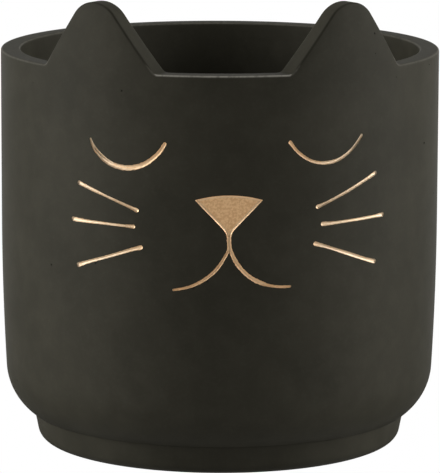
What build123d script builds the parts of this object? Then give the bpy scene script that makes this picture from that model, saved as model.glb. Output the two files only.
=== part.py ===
from build123d import *

import math
import os

# Cat-faced plant pot. One cement casting makes the foot, the wall and both ears. A closed-eyed
# face is engraved in the front of the wall, and each engraved line holds a fill of gold. A rubber
# stopper closes the drain hole and lifts out, and felt pads keep the cement off the furniture.
#
# Millimetres, +Z up, the face towards -Y. The origin is on the pot's axis, where the pads stand.
# Heights below are measured from the underside of the casting, and pads are added under it.

# Wall of the casting
BODY_RADIUS = 90.0
RIM_HEIGHT = 163.0
WALL = 8.0
WALL_DRAFT = 0.8  # degrees, the cavity narrows downwards
RIM_ROUNDING = 1.5
FLOOR_THICKNESS = 14.0
FLOOR_CORNER_RADIUS = 12.0

# Lower part of the wall: upright down from the rim, eased in, then turned under to the foot
EASE_DROP = 70.3  # from the rim down to where the wall starts to ease in
EASE_RADIUS = 1190.0
CORNER_RADIUS = 24.4
CORNER_END = 55.3  # degrees below the level of the corner's centre

# Foot
FOOT_HEIGHT = 12.2
FOOT_LEDGE = 1.0
FOOT_DRAFT = 11.0  # degrees
FOOT_EDGE_RADIUS = 5.0

# Ears, each drawn on the plane that faces it
EAR_ANGLE = 34.4  # degrees round the wall, to each side of the front
EAR_HEIGHT = 27.0
EAR_BASE_WIDTH = 52.2
EAR_TIP_RADIUS = 12.0
EAR_BASE_BLEND = 3.0

# Placing of the face: distances run round the wall, heights up it
FACE_SHIFT = 2.4
FACE_TILT = 0.8  # degrees
FACE_DROP = 62.0  # from the rim down to the nose's lower tip

# Engraving
GROOVE_DEPTH = 0.9
FILL_DROP = 0.25

# Closed eyes, each an arc that opens upwards
EYE_SPREAD = 40.8
EYE_RADIUS = 18.75
EYE_CENTRE_RISE = 44.4
EYE_HALF_SWEEP = 60.0  # degrees
LEFT_EYE_WIDTH = 1.7
RIGHT_EYE_WIDTH = 1.2

# Nose and mouth
NOSE_WIDTH = 26.8
NOSE_HEIGHT = 12.8
NOSE_ARCH = 2.1
NOSE_CORNER_RADIUS = 0.5
STEM_WIDTH = 1.9
STEM_LENGTH = 6.6
MOUTH_HALF_WIDTH = 23.3
MOUTH_DROP = 16.0
LEFT_MOUTH_WIDTH = 1.15
RIGHT_MOUTH_WIDTH = 1.5
# Where each half of the mouth bends, across its half width and down its drop
MOUTH_BEND_SHARES = ((0.11, 0.29), (0.29, 0.61))

# Whiskers
WHISKER_SPREAD = 67.6
WHISKER_RISE = 18.2
WHISKER_WIDTH = 1.1
# Inner and outer end of each whisker, across the spread and up the rise
WHISKER_END_SHARES = {
    "upper": ((0.546, 0.475), (0.947, 1.003)),
    "middle": ((0.571, 0.096), (1.0, 0.129)),
    "lower": ((0.524, -0.349), (0.951, -0.876)),
}

# Drain hole and its stopper
DRAIN_RADIUS = 8.0
STOPPER_HEAD_RADIUS = 14.0
STOPPER_HEAD_THICKNESS = 3.0
STOPPER_HEAD_ROUNDING = 0.8
STOPPER_TAPER = 0.7
STOPPER_BORE_RADIUS = 4.5
STOPPER_ROOF = 5.5
STOPPER_CLEARANCE = 0.3
STOPPER_STOP_SHORT = 1.5

# Felt pads under the foot
PAD_RADIUS = 9.0
PAD_THICKNESS = 1.5
PAD_INSET = 4.0
# One pad to each quarter, in order round the foot from the back right
PAD_PLACES = ("back_right", "back_left", "front_left", "front_right")

# Cutting tools run past what they cut by this much
OVERRUN = 2.0
# Edges are found by three places along them, each within this much of where it should lie
SNAP = 0.02
EDGE_PLACE_SHARES = (0, 0.5, 1)

WALL_TOP = RIM_HEIGHT + EAR_HEIGHT + OVERRUN
CAVITY_TOP_RADIUS = BODY_RADIUS - WALL


def cavity_radius(height):
    """Radius of the cavity's drafted wall at a height."""
    return CAVITY_TOP_RADIUS - (RIM_HEIGHT - height) * math.tan(math.radians(WALL_DRAFT))


def wall_lines(inset):
    """Outer outline of the wall from the foot to its top, drawn this far inside the surface."""
    corner_end = math.radians(CORNER_END)
    corner_height = FOOT_HEIGHT + CORNER_RADIUS * math.sin(corner_end)
    centre_gap = EASE_RADIUS - CORNER_RADIUS
    ease_start = RIM_HEIGHT - EASE_DROP
    ease = math.asin((ease_start - corner_height) / centre_gap)
    ease_centre = (BODY_RADIUS - EASE_RADIUS, ease_start)
    corner_centre = (ease_centre[0] + centre_gap * math.cos(ease), corner_height)
    corner_arc = CenterArc(
        corner_centre,
        CORNER_RADIUS - inset,
        -CORNER_END,
        CORNER_END - math.degrees(ease),
    )
    ease_arc = CenterArc(ease_centre, EASE_RADIUS - inset, -math.degrees(ease), math.degrees(ease))
    upright = Line(ease_arc @ 1, (BODY_RADIUS - inset, WALL_TOP))
    return [corner_arc, ease_arc, upright]


def wall_core(inset):
    """Everything inside the wall's outer surface, drawn this far inside it."""
    lines = wall_lines(inset)
    start = lines[0] @ 0
    closing = Polyline((BODY_RADIUS - inset, WALL_TOP), (0, WALL_TOP), (0, start.Y), start)
    return revolve(Plane.YZ * make_face(lines + [closing]), Axis.Z)


def foot_radii():
    """Radii of the foot's underside and of its top, which lies just inside the wall's lower end."""
    wall_end = (wall_lines(0)[0] @ 0).X
    top_radius = wall_end - FOOT_LEDGE
    return top_radius - FOOT_HEIGHT * math.tan(math.radians(FOOT_DRAFT)), top_radius


def foot():
    """Tapered foot with a rounded lower edge."""
    bottom_radius, top_radius = foot_radii()
    outline = Polyline(
        (0, 0),
        (bottom_radius, 0),
        (top_radius, FOOT_HEIGHT),
        (0, FOOT_HEIGHT),
        close=True,
    )
    face = make_face(outline)
    lower_corner = face.vertices().group_by(Axis.Y)[0].sort_by(Axis.X)[-1]
    return revolve(Plane.YZ * fillet(lower_corner, FOOT_EDGE_RADIUS), Axis.Z)


def cavity():
    """Drafted hollow for the plant, open at the top, with a rounded corner at the floor."""
    outline = Polyline(
        (0, FLOOR_THICKNESS),
        (cavity_radius(FLOOR_THICKNESS), FLOOR_THICKNESS),
        (cavity_radius(WALL_TOP + OVERRUN), WALL_TOP + OVERRUN),
        (0, WALL_TOP + OVERRUN),
        close=True,
    )
    face = make_face(outline)
    floor_corner = face.vertices().group_by(Axis.Y)[0].sort_by(Axis.X)[-1]
    return revolve(Plane.YZ * fillet(floor_corner, FLOOR_CORNER_RADIUS), Axis.Z)


def facing_plane(angle, distance):
    """Upright plane this far from the axis that faces outwards, angle degrees right of the front."""
    turn = math.radians(angle)
    outwards = Vector(math.sin(turn), -math.cos(turn), 0)
    across = Vector(math.cos(turn), math.sin(turn), 0)
    return Plane(origin=outwards * distance, x_dir=across, z_dir=outwards)


def ear_opening():
    """Area above the rim line, up to the wall's top, that one ear stands out from."""
    half_base = EAR_BASE_WIDTH / 2
    tip_rise = EAR_HEIGHT - EAR_TIP_RADIUS
    lean = math.atan2(tip_rise, half_base)
    lean += math.asin(EAR_TIP_RADIUS / math.hypot(tip_rise, half_base))
    apex = RIM_HEIGHT + half_base * math.tan(lean)
    side = BODY_RADIUS + OVERRUN
    top = apex + OVERRUN
    outline = Polyline(
        (-side, RIM_HEIGHT),
        (-half_base, RIM_HEIGHT),
        (0, apex),
        (half_base, RIM_HEIGHT),
        (side, RIM_HEIGHT),
        (side, top),
        (-side, top),
        close=True,
    )
    face = make_face(outline)
    inner = face.vertices().filter_by(lambda v: abs(v.X) < side - SNAP)
    bases = inner.filter_by(lambda v: abs(v.X) > SNAP)
    face = fillet(bases, EAR_BASE_BLEND)
    tip = face.vertices().filter_by(lambda v: abs(v.X) < SNAP and v.Y < top - SNAP)
    return fillet(tip, EAR_TIP_RADIUS)


def above_the_rim():
    """The space over the rim that is cut from the tall wall, all but the two ears."""
    reach = BODY_RADIUS + OVERRUN
    headroom = WALL_TOP + OVERRUN - RIM_HEIGHT
    half = extrude(facing_plane(-EAR_ANGLE, 0) * ear_opening(), reach)
    left_side = Pos(OVERRUN, 0, RIM_HEIGHT) * Box(
        2 * reach, 2 * reach, 2 * headroom, align=(Align.MAX, Align.CENTER, Align.CENTER)
    )
    left = half & left_side
    right = mirror(left, about=Plane.YZ)
    back = Pos(0, 0, RIM_HEIGHT) * Box(
        2 * reach, reach, headroom, align=(Align.CENTER, Align.MIN, Align.MIN)
    )
    return [left, right, back]


def on_rim(edge, radius_at):
    """Whether an edge runs along the rim or an ear, at the radius given for its height."""
    for share in EDGE_PLACE_SHARES:
        point = edge @ share
        if point.Z < RIM_HEIGHT - SNAP:
            return False
        if abs(math.hypot(point.X, point.Y) - radius_at(point.Z)) > SNAP:
            return False
    return True


def blank_casting():
    """Foot, wall, ears and cavity, with the rim and the ears' edges rounded."""
    casting = wall_core(0) + foot() - cavity()
    for space in above_the_rim():
        casting -= space
    outer = casting.edges().filter_by(lambda e: on_rim(e, lambda height: BODY_RADIUS))
    casting = fillet(outer, RIM_ROUNDING)
    inner = casting.edges().filter_by(lambda e: on_rim(e, cavity_radius))
    return fillet(inner, RIM_ROUNDING)


def stroke_area(paths, width):
    """Area of a line of one width with round ends, drawn along connected paths."""
    return make_face(offset(Wire(paths), width / 2).edges())


def face_point(across, up):
    """Point of the face, tilted with it, from the nose's lower tip."""
    tilt = math.radians(FACE_TILT)
    return (
        FACE_SHIFT + across * math.cos(tilt) - up * math.sin(tilt),
        RIM_HEIGHT - FACE_DROP + across * math.sin(tilt) + up * math.cos(tilt),
    )


def wall_angle(across):
    """Degrees round the wall of a distance measured along it."""
    return math.degrees(across / BODY_RADIUS)


def flattened(point, angle):
    """A point of the wall as seen on the upright plane that faces outwards at that angle."""
    turn = math.radians(wall_angle(point[0]) - angle)
    return (BODY_RADIUS * math.sin(turn), point[1])


def eye_area(side, width, angle):
    """One closed eye: an arc through its outer end, its lowest point and its inner end."""
    sweep = math.radians(EYE_HALF_SWEEP)
    places = []
    for turn in (-sweep, 0, sweep):
        across = side * EYE_SPREAD + EYE_RADIUS * math.sin(turn)
        up = EYE_CENTRE_RISE - EYE_RADIUS * math.cos(turn)
        places.append(flattened(face_point(across, up), angle))
    return stroke_area([ThreePointArc(*places)], width)


def whisker_area(side, end_shares, angle):
    """One whisker: a straight line between its two ends."""
    ends = []
    for across_share, up_share in end_shares:
        place = face_point(side * across_share * WHISKER_SPREAD, up_share * WHISKER_RISE)
        ends.append(flattened(place, angle))
    return stroke_area([Line(*ends)], WHISKER_WIDTH)


def nose_area(angle):
    """Nose: a triangle that points down, with an arched top edge and small round corners."""
    half = NOSE_WIDTH / 2
    left, right, arch, tip = [
        flattened(face_point(across, up), angle)
        for across, up in (
            (-half, NOSE_HEIGHT),
            (half, NOSE_HEIGHT),
            (0, NOSE_HEIGHT + NOSE_ARCH),
            (0, -STEM_WIDTH / 2),
        )
    ]
    face = make_face([ThreePointArc(left, arch, right), Line(right, tip), Line(tip, left)])
    upper = face.vertices().sort_by(Axis.Y)[1:]
    return fillet(upper, NOSE_CORNER_RADIUS)


def stem_area(angle):
    """Short upright line from the nose down to the mouth."""
    top = flattened(face_point(0, 0), angle)
    bottom = flattened(face_point(0, -STEM_LENGTH), angle)
    return stroke_area([Line(top, bottom)], STEM_WIDTH)


def half_mouth_area(side, width, angle):
    """Half of the mouth: a steep arc from the stem that runs on into a flatter one."""
    start = STEM_WIDTH / 2 - width / 2
    run = MOUTH_HALF_WIDTH - start
    offsets = [(start, 0)]
    for across_share, down_share in MOUTH_BEND_SHARES:
        offsets.append((start + run * across_share, MOUTH_DROP * down_share))
    offsets.append((MOUTH_HALF_WIDTH, MOUTH_DROP))
    places = [
        flattened(face_point(side * across, -STEM_LENGTH - down), angle)
        for across, down in offsets
    ]
    steep = ThreePointArc(*places[:3])
    flat = TangentArc(places[2], places[3], tangent=steep % 1)
    return stroke_area([steep, flat], width)


def engraving(area, angle):
    """The gold fill and the groove cutter of one engraved area on the plane at that angle."""
    plane = facing_plane(angle, BODY_RADIUS / 2)
    prism = extrude(plane * area, BODY_RADIUS / 2 + OVERRUN)
    groove = prism - wall_core(GROOVE_DEPTH)
    return groove & wall_core(FILL_DROP), groove


def face_engravings():
    """Every fill of the face with its groove, by node name."""
    parts = {}
    eye_widths = {"left": LEFT_EYE_WIDTH, "right": RIGHT_EYE_WIDTH}
    mouth_widths = {"left": LEFT_MOUTH_WIDTH, "right": RIGHT_MOUTH_WIDTH}
    front = wall_angle(FACE_SHIFT)
    mouth = stem_area(front) - nose_area(front)
    for name, side in (("left", -1), ("right", 1)):
        angle = wall_angle(FACE_SHIFT + side * EYE_SPREAD)
        parts[f"{name}_eye"] = engraving(eye_area(side, eye_widths[name], angle), angle)
        for level, end_shares in WHISKER_END_SHARES.items():
            middle_share = (end_shares[0][0] + end_shares[1][0]) / 2
            angle = wall_angle(FACE_SHIFT + side * middle_share * WHISKER_SPREAD)
            area = whisker_area(side, end_shares, angle)
            parts[f"{name}_whisker_{level}"] = engraving(area, angle)
        mouth += half_mouth_area(side, mouth_widths[name], front)
    parts["nose"] = engraving(nose_area(front), front)
    parts["mouth"] = engraving(mouth, front)
    return parts


def drain_cutter():
    """Drain hole through the floor, with the seat for the stopper's head above it."""
    seat = FLOOR_THICKNESS - STOPPER_HEAD_THICKNESS
    hole = Cylinder(DRAIN_RADIUS, FLOOR_THICKNESS, align=(Align.CENTER, Align.CENTER, Align.MIN))
    recess = Pos(0, 0, seat) * Cylinder(
        STOPPER_HEAD_RADIUS + STOPPER_CLEARANCE,
        STOPPER_HEAD_THICKNESS + OVERRUN,
        align=(Align.CENTER, Align.CENTER, Align.MIN),
    )
    return hole + recess


def drain_stopper():
    """Rubber stopper: a flat head that sits flush with the floor, and a hollow tapered stem."""
    seat = FLOOR_THICKNESS - STOPPER_HEAD_THICKNESS
    stem_top = DRAIN_RADIUS - STOPPER_CLEARANCE
    stem_bottom = stem_top - STOPPER_TAPER
    outline = Polyline(
        (0, FLOOR_THICKNESS),
        (STOPPER_HEAD_RADIUS, FLOOR_THICKNESS),
        (STOPPER_HEAD_RADIUS, seat),
        (stem_top, seat),
        (stem_bottom, STOPPER_STOP_SHORT),
        (STOPPER_BORE_RADIUS, STOPPER_STOP_SHORT),
        (STOPPER_BORE_RADIUS, FLOOR_THICKNESS - STOPPER_ROOF),
        (0, FLOOR_THICKNESS - STOPPER_ROOF),
        close=True,
    )
    face = make_face(outline)
    head_edge = face.vertices().group_by(Axis.Y)[-1].sort_by(Axis.X)[-1]
    return revolve(Plane.YZ * fillet(head_edge, STOPPER_HEAD_ROUNDING), Axis.Z)


def felt_pad(angle):
    """Round felt pad stuck under the foot, set in from the foot's rounded edge."""
    bottom_radius, _ = foot_radii()
    circle = bottom_radius - FOOT_EDGE_RADIUS - PAD_INSET - PAD_RADIUS
    turn = math.radians(angle)
    place = Pos(circle * math.cos(turn), circle * math.sin(turn), 0)
    return place * Cylinder(
        PAD_RADIUS, PAD_THICKNESS, align=(Align.CENTER, Align.CENTER, Align.MAX)
    )


def build_nodes():
    """Every node of the pot by name, in the casting's own heights."""
    nodes = {}
    casting = blank_casting() - drain_cutter()
    for name, (fill, groove) in face_engravings().items():
        casting -= groove
        nodes[f"{name}_inlay"] = fill
    nodes["pot_body"] = casting
    nodes["drain_stopper"] = drain_stopper()
    for index, name in enumerate(PAD_PLACES):
        nodes[f"felt_pad_{name}"] = felt_pad((index + 0.5) * 360 / len(PAD_PLACES))
    return nodes


def main():
    os.makedirs("parts", exist_ok=True)
    for name, shape in build_nodes().items():
        export_step(Pos(0, 0, PAD_THICKNESS) * shape, f"parts/{name}.step")


main()
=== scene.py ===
"""Looks of the cat-faced cement plant pot: casting, gold face, stopper, felt feet and studio.

Metres, +Z up, the face towards -Y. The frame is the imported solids', and the pot stands on z = 0.
"""

import logging
import math
from dataclasses import dataclass, field
from enum import Enum
from typing import Callable, Mapping, Optional, Sequence, Union

import bmesh
import bpy
import numpy as np
from mathutils import Matrix, Vector
from mathutils.geometry import delaunay_2d_cdt
from mathutils.kdtree import KDTree

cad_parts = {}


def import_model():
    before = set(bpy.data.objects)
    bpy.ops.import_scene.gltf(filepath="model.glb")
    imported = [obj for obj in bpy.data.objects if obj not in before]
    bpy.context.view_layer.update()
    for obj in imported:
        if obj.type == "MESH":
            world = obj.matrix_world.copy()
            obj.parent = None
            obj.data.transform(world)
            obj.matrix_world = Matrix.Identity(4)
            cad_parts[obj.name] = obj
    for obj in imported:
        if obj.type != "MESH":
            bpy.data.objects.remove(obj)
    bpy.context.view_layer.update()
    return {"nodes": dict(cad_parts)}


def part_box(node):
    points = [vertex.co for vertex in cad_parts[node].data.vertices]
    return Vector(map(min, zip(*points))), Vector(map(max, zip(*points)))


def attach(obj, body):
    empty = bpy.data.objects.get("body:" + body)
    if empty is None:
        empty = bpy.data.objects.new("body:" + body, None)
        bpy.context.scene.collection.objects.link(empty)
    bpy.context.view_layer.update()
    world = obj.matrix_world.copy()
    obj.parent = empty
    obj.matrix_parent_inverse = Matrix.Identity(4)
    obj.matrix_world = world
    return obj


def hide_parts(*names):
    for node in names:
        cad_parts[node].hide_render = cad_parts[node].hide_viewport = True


LOG = logging.getLogger("cat_pot")
MM = 0.001
# Reach within which a point counts as one of a rounded edge's
TOUCH = 0.02 * MM
# Nearest that a sheet's inner points come to an outline, as a share of their spacing
CLEARANCE = 0.45
# How fast a brushed line's width wavers, slowly and quickly, in radians a millimetre
WAVER_RATES = (2.1, 3.7)
# Radians by which the waver starts later for each millimetre of a line's first point
WAVER_START = 100

Number = Union[int, float]
Colour = tuple[float, float, float]
Point = tuple[float, float]
Span = tuple[float, float]


# Node trees


def math_method(operation: str, reflected: bool = False) -> Callable:
    """Makes a method of Field that adds one Math node.

    Args:
        operation: Blender's name of the operation.
        reflected: Whether the other operand comes first.

    Returns:
        The method.
    """

    def method(own: "Field", other: "Operand") -> "Field":
        """The result as a new field."""
        return own.graph.maths(operation, *((other, own) if reflected else (own, other)))

    return method


class Field:
    """An output socket of a node tree, on which maths is written as plain expressions."""

    def __init__(self, graph: "Graph", socket: bpy.types.NodeSocket) -> None:
        """Keeps the socket and the graph that it belongs to."""
        self.graph = graph
        self.socket = socket

    def __neg__(self) -> "Field":
        """Negative."""
        return self.graph.maths("MULTIPLY", self, -1)

    __add__ = math_method("ADD")
    __radd__ = math_method("ADD", True)
    __sub__ = math_method("SUBTRACT")
    __rsub__ = math_method("SUBTRACT", True)
    __mul__ = math_method("MULTIPLY")
    __rmul__ = math_method("MULTIPLY", True)
    __truediv__ = math_method("DIVIDE")
    __pow__ = math_method("POWER")
    __gt__ = math_method("GREATER_THAN")


Operand = Union[Field, Number]


def find_socket(
    sockets: Sequence[bpy.types.NodeSocket], key: Union[str, int]
) -> bpy.types.NodeSocket:
    """Finds a socket by its identifier, and otherwise by its name or place.

    Args:
        sockets: Inputs or outputs of one node.
        key: The identifier, name or place.

    Returns:
        The socket.
    """
    for socket in sockets:
        if socket.identifier == key:
            return socket
    return sockets[key]


class Made:
    """A node that was just made, whose outputs are read by name."""

    def __init__(self, graph: "Graph", node: bpy.types.Node) -> None:
        """Keeps the node and its graph."""
        self.graph = graph
        self.node = node

    def __getitem__(self, name: Union[str, int]) -> Field:
        """The output with this identifier, name or place."""
        return Field(self.graph, find_socket(self.node.outputs, name))


class Graph:
    """A shader or geometry node tree that is built from expressions."""

    def __init__(self, tree: bpy.types.NodeTree) -> None:
        """Takes an empty tree."""
        self.tree = tree

    def node(
        self,
        kind: str,
        settings: Optional[Mapping[str, object]] = None,
        inputs: Optional[Mapping[Union[str, int], object]] = None,
    ) -> Made:
        """Makes one node.

        Args:
            kind: Blender's type name of the node.
            settings: The node's own properties, set first.
            inputs: Values or fields by the socket's identifier, name or place.

        Returns:
            The node, for reading its outputs.
        """
        node = self.tree.nodes.new(kind)
        for name, value in (settings or {}).items():
            setattr(node, name, value)
        for key, value in (inputs or {}).items():
            socket = find_socket(node.inputs, key)
            if isinstance(value, Field):
                self.tree.links.new(value.socket, socket)
            else:
                socket.default_value = value
        return Made(self, node)

    def maths(self, operation: str, *operands: Operand) -> Field:
        """Adds one Math node, or a Vector Math node where an operand is a vector.

        Args:
            operation: Blender's name of the operation.
            operands: Fields or numbers, in order.

        Returns:
            The result.
        """
        vector = any(isinstance(o, Field) and o.socket.type == "VECTOR" for o in operands)
        if not vector:
            return self.node("ShaderNodeMath", {"operation": operation}, dict(enumerate(operands)))[0]
        spread = [o if isinstance(o, Field) else (o, o, o) for o in operands]
        return self.node("ShaderNodeVectorMath", {"operation": operation}, dict(enumerate(spread)))[0]

    def least(self, first: Operand, second: Operand) -> Field:
        """The smaller of two."""
        return self.maths("MINIMUM", first, second)

    def most(self, first: Operand, second: Operand) -> Field:
        """The larger of two."""
        return self.maths("MAXIMUM", first, second)

    def ramp(self, value: Field, span: Span) -> Field:
        """Rises smoothly from nought to one.

        Args:
            value: The field that is read.
            span: Its values where the rise starts and ends.

        Returns:
            The level.
        """
        settings = {"interpolation_type": "SMOOTHSTEP"}
        places = {"Value": value, "From Min": span[0], "From Max": span[1]}
        return self.node("ShaderNodeMapRange", settings, places)[0]

    def noise(self, place: Field, size: float, detail: float = 2.0) -> Field:
        """Smooth noise from nought to one.

        Args:
            place: The coordinates, in metres.
            size: Width of one patch, in metres.
            detail: Octaves of finer noise on top.

        Returns:
            The noise, about a half on average.
        """
        inputs = {"Vector": place, "Scale": 1 / size, "Detail": detail, "Roughness": 0.5}
        return self.node("ShaderNodeTexNoise", None, inputs)["Fac"]


class ShaderGraph(Graph):
    """The tree of one material, with its Principled shader at hand."""

    def __init__(self, name: str) -> None:
        """Makes a material with an empty tree, and reads the surface's own coordinates.

        Args:
            name: The material's name.
        """
        self.material = bpy.data.materials.new(name)
        self.material.use_nodes = True
        super().__init__(self.material.node_tree)
        self.tree.nodes.clear()
        self.place = self.node("ShaderNodeTexCoord")["Object"]

    def attribute(self, name: str) -> Field:
        """Reads a number that is stored on the surface."""
        return self.node("ShaderNodeAttribute", {"attribute_name": name})["Fac"]

    def blend(self, factor: Operand, low: Union[Colour, Field], high: Union[Colour, Field]) -> Field:
        """Mixes two colours.

        Args:
            factor: Nought for the first colour, one for the second.
            low: The first colour.
            high: The second colour.

        Returns:
            The mixed colour.
        """
        inputs = {"Factor_Float": factor}
        for socket, colour in (("A_Color", low), ("B_Color", high)):
            inputs[socket] = colour if isinstance(colour, Field) else (*colour, 1)
        return self.node("ShaderNodeMix", {"data_type": "RGBA"}, inputs)["Result_Color"]

    def relief(self, height: Field, depth: float) -> Field:
        """Normal of a surface with fine relief.

        Args:
            height: Height from nought to one.
            depth: Metres from nought to one.

        Returns:
            The bent normal.
        """
        inputs = {"Height": height, "Distance": depth, "Strength": 1.0}
        return self.node("ShaderNodeBump", None, inputs)["Normal"]

    def finish(self, sockets: Mapping[str, object]) -> bpy.types.Material:
        """Ends the tree in a Principled shader.

        Args:
            sockets: Values or fields of the shader's sockets by name.

        Returns:
            The finished material.
        """
        shader = self.node("ShaderNodeBsdfPrincipled", None, sockets)
        return self.end(shader["BSDF"])

    def end(self, surface: Field) -> bpy.types.Material:
        """Sends a surface to the material's output."""
        self.node("ShaderNodeOutputMaterial", None, {"Surface": surface})
        return self.material


class GeometryGraph(Graph):
    """A geometry node tree with named inputs, which is applied to a mesh and then removed."""

    def __init__(self, name: str) -> None:
        """Makes the tree, its output and its first input, the geometry.

        Args:
            name: The tree's name.
        """
        super().__init__(bpy.data.node_groups.new(name, "GeometryNodeTree"))
        self.tree.interface.new_socket("Geometry", in_out="OUTPUT", socket_type="NodeSocketGeometry")
        self.entry = self.tree.nodes.new("NodeGroupInput")
        self.geometry = self.input("Geometry", "NodeSocketGeometry")

    def input(self, name: str, kind: str = "NodeSocketFloat") -> Field:
        """Adds a named input to the tree.

        Args:
            name: The input's name, as a user of the tree sees it.
            kind: Blender's type of the socket.

        Returns:
            The input as a field.
        """
        self.tree.interface.new_socket(name, in_out="INPUT", socket_type=kind)
        return Field(self, self.entry.outputs[name])

    def attribute(self, name: str) -> Field:
        """Reads a number that is stored on the geometry."""
        kind = {"data_type": "FLOAT"}
        return self.node("GeometryNodeInputNamedAttribute", kind, {"Name": name})["Attribute"]

    def finish(self, geometry: Field, material: Optional[Field]) -> None:
        """Ends the tree with real geometry and its material.

        Args:
            geometry: What the tree made.
            material: The material input, or nothing where the faces keep their own.
        """
        real = self.node("GeometryNodeRealizeInstances", None, {"Geometry": geometry})["Geometry"]
        if material is not None:
            real = self.node("GeometryNodeSetMaterial", None, {"Geometry": real, "Material": material})[0]
        self.node("NodeGroupOutput", None, {"Geometry": real})

    def apply(self, name: str, source: bpy.types.Mesh, values: Mapping[str, object]) -> bpy.types.Mesh:
        """Runs the tree on a mesh.

        Args:
            name: Name of the new mesh.
            source: The mesh that the tree starts from.
            values: The tree's inputs by name.

        Returns:
            The plain mesh that came out.
        """
        carrier = bpy.data.objects.new(name + "_carrier", source)
        bpy.context.scene.collection.objects.link(carrier)
        modifier = carrier.modifiers.new("shape", "NODES")
        modifier.node_group = self.tree
        for item in self.tree.interface.items_tree:
            if item.in_out == "INPUT" and item.name in values:
                modifier[item.identifier] = values[item.name]
        bpy.context.view_layer.update()
        graph = bpy.context.evaluated_depsgraph_get()
        mesh = bpy.data.meshes.new_from_object(carrier.evaluated_get(graph), depsgraph=graph)
        bpy.data.objects.remove(carrier)
        mesh.name = name
        return mesh


# Finishes


@dataclass(frozen=True)
class CementFinish:
    """Dark sealed cement: fine grain, faint clouds of tone, rubbed edges with a painted highlight, and
    painted shade along the ears' outer edges.
    """

    name: str = "dark_cement"
    tone: Colour = (0.0342, 0.0322, 0.0228)
    pale_tone: Colour = (0.0510, 0.0475, 0.0345)
    cloud_size: float = 0.035
    cloud_span: Span = (0.35, 0.65)
    cloud_share: float = 0.4
    blotch_size: float = 0.008
    blotch_span: Span = (0.35, 0.7)
    blotch_share: float = 0.3
    fleck_size: float = 0.0016
    fleck_span: Span = (0.45, 0.8)
    fleck_share: float = 0.3
    grain_size: float = 0.0006
    grain_share: float = 0.6
    grain_depth: float = 0.000035
    roughness: float = 0.60
    cloud_roughness: float = 0.10
    fleck_roughness: float = 0.12
    gloss: float = 0.08
    # Pale tone of the rounded edges: a little rubbed wear, mostly a painted highlight
    edge_highlight_tone: Colour = (0.300, 0.285, 0.245)
    edge_highlight_share: float = 0.8
    edge_span: Span = (0.25, 0.6)
    edge_least: float = 0.5
    # Painted shade along the ears' outer edges, where the edge number is below nought
    edge_shade_tone: Colour = (0.0110, 0.0100, 0.0075)

    def material(self) -> bpy.types.Material:
        """Builds the material.

        Returns:
            The material. It reads each point's edge number: above nought, rubbed paler with a painted
            highlight; below nought, painted shade.
        """
        graph = ShaderGraph(self.name)
        clouds = graph.noise(graph.place, self.cloud_size, 4)
        flecks = graph.noise(graph.place, self.fleck_size, 3)
        grain = graph.noise(graph.place, self.grain_size, 2)
        blotches = graph.noise(graph.place, self.blotch_size, 3)
        share = graph.ramp(clouds, self.cloud_span) * self.cloud_share
        share = share + graph.ramp(blotches, self.blotch_span) * self.blotch_share
        share = share + graph.ramp(flecks, self.fleck_span) * self.fleck_share
        # Painted highlight, with a little rubbed wear, where the edge number is above nought; painted
        # shade where it is below
        edge = graph.attribute("edge")
        patchy = graph.ramp(flecks, self.edge_span) * (1 - self.edge_least) + self.edge_least
        worn_and_highlight = graph.most(edge, 0) * patchy * self.edge_highlight_share
        colour = graph.blend(worn_and_highlight, graph.blend(share, self.tone, self.pale_tone), self.edge_highlight_tone)
        colour = graph.blend(graph.most(-edge, 0), colour, self.edge_shade_tone)
        roughness = self.roughness + (clouds - 0.5) * self.cloud_roughness
        height = grain * self.grain_share + flecks * (1 - self.grain_share)
        return graph.finish(
            {
                "Base Color": colour,
                "Roughness": roughness + (flecks - 0.5) * self.fleck_roughness,
                "Specular IOR Level": self.gloss,
                "Normal": graph.relief(height, self.grain_depth),
            }
        )


@dataclass(frozen=True)
class PitFinish:
    """Inside of an air bubble that opened in the cement's surface, coloured darker than the cement as
    painted shade in the hollow.
    """

    name: str = "cement_pit"
    # Darker than the cement: painted shade inside the pit
    tone: Colour = (0.012, 0.0115, 0.0095)
    light_tone: Colour = (0.024, 0.023, 0.019)
    speck_size: float = 0.0003
    roughness: float = 0.8

    def material(self) -> bpy.types.Material:
        """Builds the material.

        Returns:
            The material.
        """
        graph = ShaderGraph(self.name)
        specks = graph.noise(graph.place, self.speck_size)
        colour = graph.blend(specks, self.tone, self.light_tone)
        return graph.finish({"Base Color": colour, "Roughness": self.roughness})


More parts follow.
